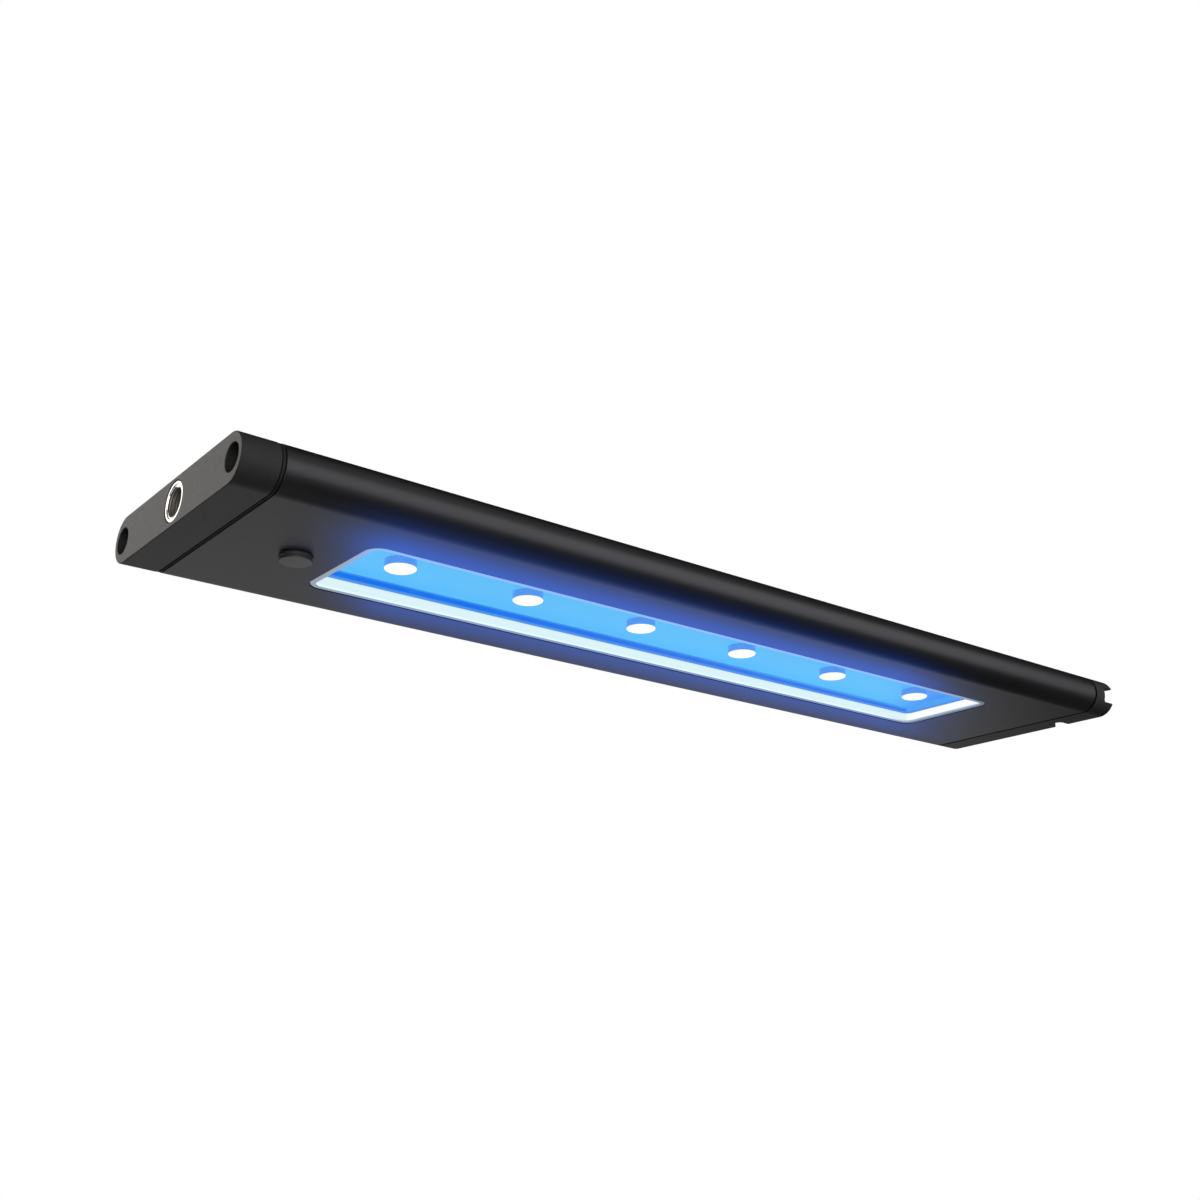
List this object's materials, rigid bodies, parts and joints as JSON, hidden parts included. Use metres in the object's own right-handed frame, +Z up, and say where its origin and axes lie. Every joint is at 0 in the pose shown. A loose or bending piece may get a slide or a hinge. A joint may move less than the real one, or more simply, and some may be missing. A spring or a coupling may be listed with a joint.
{
  "type": "led aquarium light",
  "caption": "Slim bar light for over an aquarium: flat round-edged black housing with end caps, arm sockets, a recessed lens window, a push button and a chrome power inlet.",
  "frame": {"origin": "midway between the four arm sockets, on the light's length and width centre and on the sockets' axes, 5.8 mm above the flat underside", "axes": "+X along the light, away from the end with the power inlet; +Y across it; +Z up, so the light shines down along -Z"},
  "size_m": [0.307, 0.0696, 0.0132],
  "materials": {
    "black_anodised": "satin black anodised",
    "cap_black": "fine matt black",
    "gasket_rubber": "matt",
    "screw_steel": "turned",
    "inlet_chrome": "polished",
    "inlet_plastic": "moulded",
    "contact_metal": "plated",
    "bezel_grey": "matt silicone seal",
    "clear_pane": "clear, polished",
    "well_white": "white reflector, lit",
    "led_board_mask": "white solder mask, lit blue",
    "pad_grey": "matt",
    "led_phosphor": "lit",
    "lens_white": "frosted, lit",
    "control_board_mask": "solder mask",
    "ferrite": "matt",
    "capacitor_case": "moulded",
    "chip_epoxy": "moulded",
    "switch_can": "pressed",
    "lead_red": "insulation",
    "lead_black": "insulation",
    "button_black": "smooth satin"
  },
  "bodies": {
    "light": {"housing": "black_anodised", "left_end_cap": "cap_black", "right_end_cap": "cap_black", "left_gasket": "gasket_rubber", "right_gasket": "gasket_rubber", "left_near_cap_screw": "screw_steel", "left_far_cap_screw": "screw_steel", "right_near_cap_screw": "screw_steel", "right_far_cap_screw": "screw_steel", "inlet_shell": "inlet_chrome", "inlet_insulator": "inlet_plastic", "inlet_pin_1": "contact_metal", "inlet_pin_2": "contact_metal", "inlet_pin_3": "contact_metal", "inlet_pin_4": "contact_metal", "window_bezel": "bezel_grey", "window_pane": "clear_pane", "light_well": "well_white", "led_board": "led_board_mask", "thermal_pad": "pad_grey", "led_1": "led_phosphor", "led_2": "led_phosphor", "led_3": "led_phosphor", "led_4": "led_phosphor", "led_5": "led_phosphor", "led_6": "led_phosphor", "lens_1": "lens_white", "lens_2": "lens_white", "lens_3": "lens_white", "lens_4": "lens_white", "lens_5": "lens_white", "lens_6": "lens_white", "board_screw_1": "screw_steel", "board_screw_2": "screw_steel", "board_screw_3": "screw_steel", "board_screw_4": "screw_steel", "board_screw_5": "screw_steel", "board_screw_6": "screw_steel", "control_board": "control_board_mask", "inductor": "ferrite", "capacitor": "capacitor_case", "controller_chip": "chip_epoxy", "switch_body": "switch_can", "switch_dome": "contact_metal", "inlet_lead_positive": "lead_red", "inlet_lead_negative": "lead_black", "led_lead_positive": "lead_red", "led_lead_negative": "lead_black"},
    "button": {"control_button": "button_black", "button_seal": "gasket_rubber", "switch_plunger": "chip_epoxy"}
  },
  "joints": [
    {"name": "button_press", "type": "slide", "parent": "light", "child": "button", "axis": [0, 0, 1], "range_m": [0, 0.0005], "stiffness_N_per_m": 2500, "springref_m": -0.00025}
  ]
}
